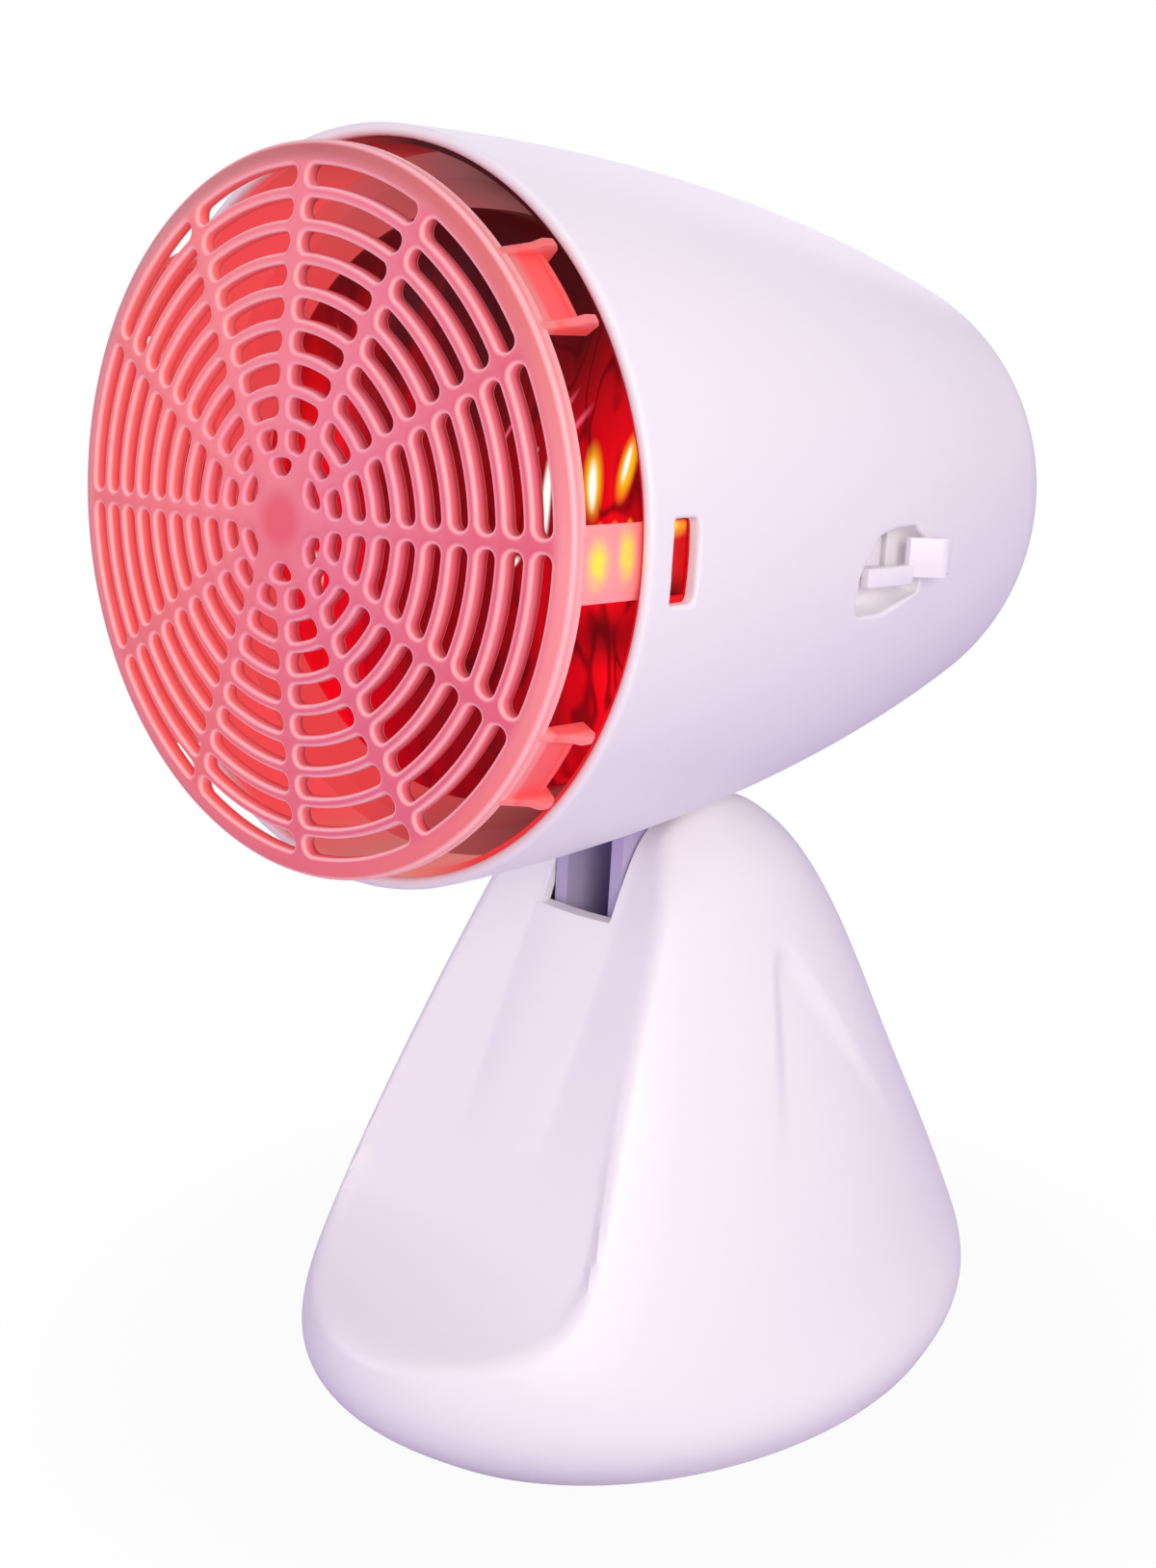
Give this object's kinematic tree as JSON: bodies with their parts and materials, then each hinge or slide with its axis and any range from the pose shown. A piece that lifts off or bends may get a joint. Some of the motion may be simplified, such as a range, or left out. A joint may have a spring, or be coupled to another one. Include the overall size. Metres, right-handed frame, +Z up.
{
  "type": "infrared heat therapy lamp",
  "caption": "Table-top infrared heat lamp: bullet-shaped head with a slotted guard over a red reflector bulb, tipping on a friction hinge in a weighted cone base, with a rocker switch lever.",
  "frame": {"origin": "on the floor, under the middle of the lamp's length and width at rest", "axes": "+Z up, the head faces -Y, +X to the side with the switch lever"},
  "size_m": [0.15, 0.2143, 0.2909],
  "materials": {
    "shell_plastic": "satin pale lilac",
    "plate_plastic": "matte lilac grey",
    "ballast_iron": "painted",
    "foot_rubber": "matte",
    "plated_steel": "zinc plated",
    "screw_steel": "zinc plated",
    "washer_plastic": "waxy",
    "bush_rubber": "matte",
    "block_plastic": "matte",
    "liner_plastic": "satin red",
    "guard_plastic": "frosted salmon pink",
    "shield_aluminium": "bright rolled",
    "ruby_glass": "ruby red",
    "bulb_silvering": "red lacquered mirror",
    "cap_brass": "bright",
    "bead_glass": "black glass",
    "stem_glass": "clear",
    "wire_steel": "drawn",
    "tungsten": "dull",
    "holder_ceramic": "glazed ceramic",
    "switch_plastic": "black",
    "lever_plastic": "satin pale lilac"
  },
  "bodies": {
    "base": {"base_shell": "shell_plastic", "base_plate": "plate_plastic", "ballast_weight": "ballast_iron", "rubber_feet": "foot_rubber", "hinge_yoke": "plated_steel", "hinge_bolt": "screw_steel", "hinge_nut": "screw_steel", "spring_washer": "screw_steel", "friction_washers": "washer_plastic", "yoke_screws": "screw_steel", "plate_screws": "screw_steel", "ballast_screws": "screw_steel", "lead_inlet": "bush_rubber", "terminal_block": "block_plastic"},
    "head": {"head_shell": "shell_plastic", "mouth_liner": "liner_plastic", "rear_cap": "shell_plastic", "guard_grille": "guard_plastic", "heat_shield": "shield_aluminium", "bulb_lens": "ruby_glass", "bulb_reflector": "bulb_silvering", "bulb_screw_cap": "cap_brass", "bulb_insulator": "bead_glass", "bulb_contact": "cap_brass", "bulb_stem": "stem_glass", "filament_wires": "wire_steel", "filament": "tungsten", "lamp_holder": "holder_ceramic", "holder_thread_shell": "cap_brass", "holder_contact": "cap_brass", "holder_bracket": "plated_steel", "holder_screws": "screw_steel", "bracket_screws": "screw_steel", "power_switch": "switch_plastic", "switch_terminals": "cap_brass", "lever_pin": "wire_steel", "neck_arm": "shell_plastic", "neck_screws": "screw_steel"},
    "lever": {"switch_lever": "lever_plastic"}
  },
  "joints": [
    {"name": "head_tilt", "type": "hinge", "parent": "base", "child": "head", "pos_m": [0, 0.0061, 0.11], "axis": [1, 0, 0], "range_deg": [-30, 8]},
    {"name": "switch_lever", "type": "hinge", "parent": "head", "child": "lever", "pos_m": [0.0585, 0.00169, 0.20876], "axis": [0, 0.0872, 0.9962], "range_deg": [0, 6], "stiffness_Nm_per_rad": 0.02}
  ]
}
